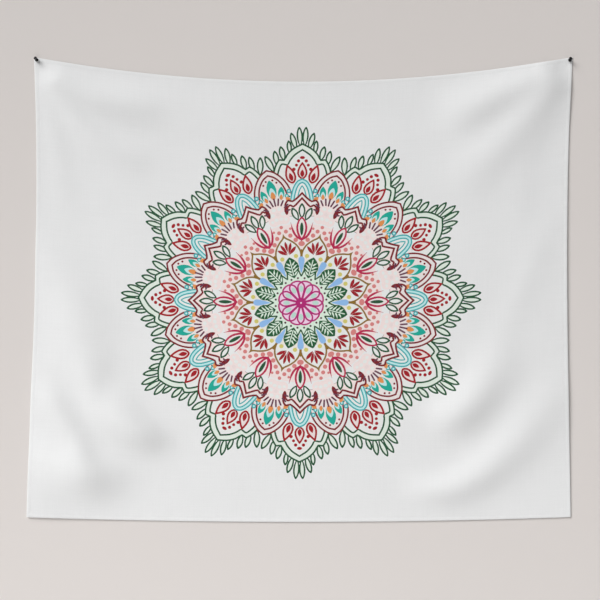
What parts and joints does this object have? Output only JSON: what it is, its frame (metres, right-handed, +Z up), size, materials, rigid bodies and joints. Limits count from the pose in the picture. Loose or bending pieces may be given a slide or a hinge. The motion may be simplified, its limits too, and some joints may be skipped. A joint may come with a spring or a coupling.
{
  "type": "tapestry wall hanging",
  "caption": "Wide printed cloth wall hanging with a round floral mandala and narrow sewn hems, held on the wall by a push-pin at each top corner.",
  "frame": {"origin": "on the wall, midway between the two pin holes", "axes": "+X to the viewer's right along the cloth, +Y into the wall, +Z up; the printed front faces -Y"},
  "size_m": [1.5303, 0.04, 1.3023],
  "materials": {
    "cloth": "matt woven polyester, white, with a many-coloured floral print on the front",
    "hem": "the same white woven polyester, folded to the back",
    "thread": "white spun polyester sewing thread",
    "pin_plastic": "black moulded plastic",
    "pin_steel": "bright drawn steel"
  },
  "bodies": {
    "pinned_cloth": {"cloth_upper": "cloth", "top_hem": "hem", "left_hem_upper": "hem", "right_hem_upper": "hem", "top_needle_thread": "thread", "left_needle_thread_upper": "thread", "right_needle_thread_upper": "thread", "top_bobbin_thread": "thread", "left_bobbin_thread_upper": "thread", "right_bobbin_thread_upper": "thread"},
    "hanging_cloth": {"cloth_lower": "cloth", "bottom_hem": "hem", "left_hem_lower": "hem", "right_hem_lower": "hem", "bottom_needle_thread": "thread", "left_needle_thread_lower": "thread", "right_needle_thread_lower": "thread", "bottom_bobbin_thread": "thread", "left_bobbin_thread_lower": "thread", "right_bobbin_thread_lower": "thread"},
    "left_pin": {"left_pin_head": "pin_plastic", "left_pin_needle": "pin_steel"},
    "right_pin": {"right_pin_head": "pin_plastic", "right_pin_needle": "pin_steel"}
  },
  "joints": [
    {"name": "cloth_lift", "type": "hinge", "parent": "pinned_cloth", "child": "hanging_cloth", "pos_m": [0, -0.0079, -0.16], "axis": [-1, 0, 0], "range_deg": [0, 80]},
    {"name": "left_pin_pull", "type": "slide", "parent": "pinned_cloth", "child": "left_pin", "axis": [-0.1719, -0.9397, 0.2957], "range_m": [0, 0.015]},
    {"name": "right_pin_pull", "type": "slide", "parent": "pinned_cloth", "child": "right_pin", "axis": [0.0337, -0.9744, 0.2224], "range_m": [0, 0.015]}
  ]
}
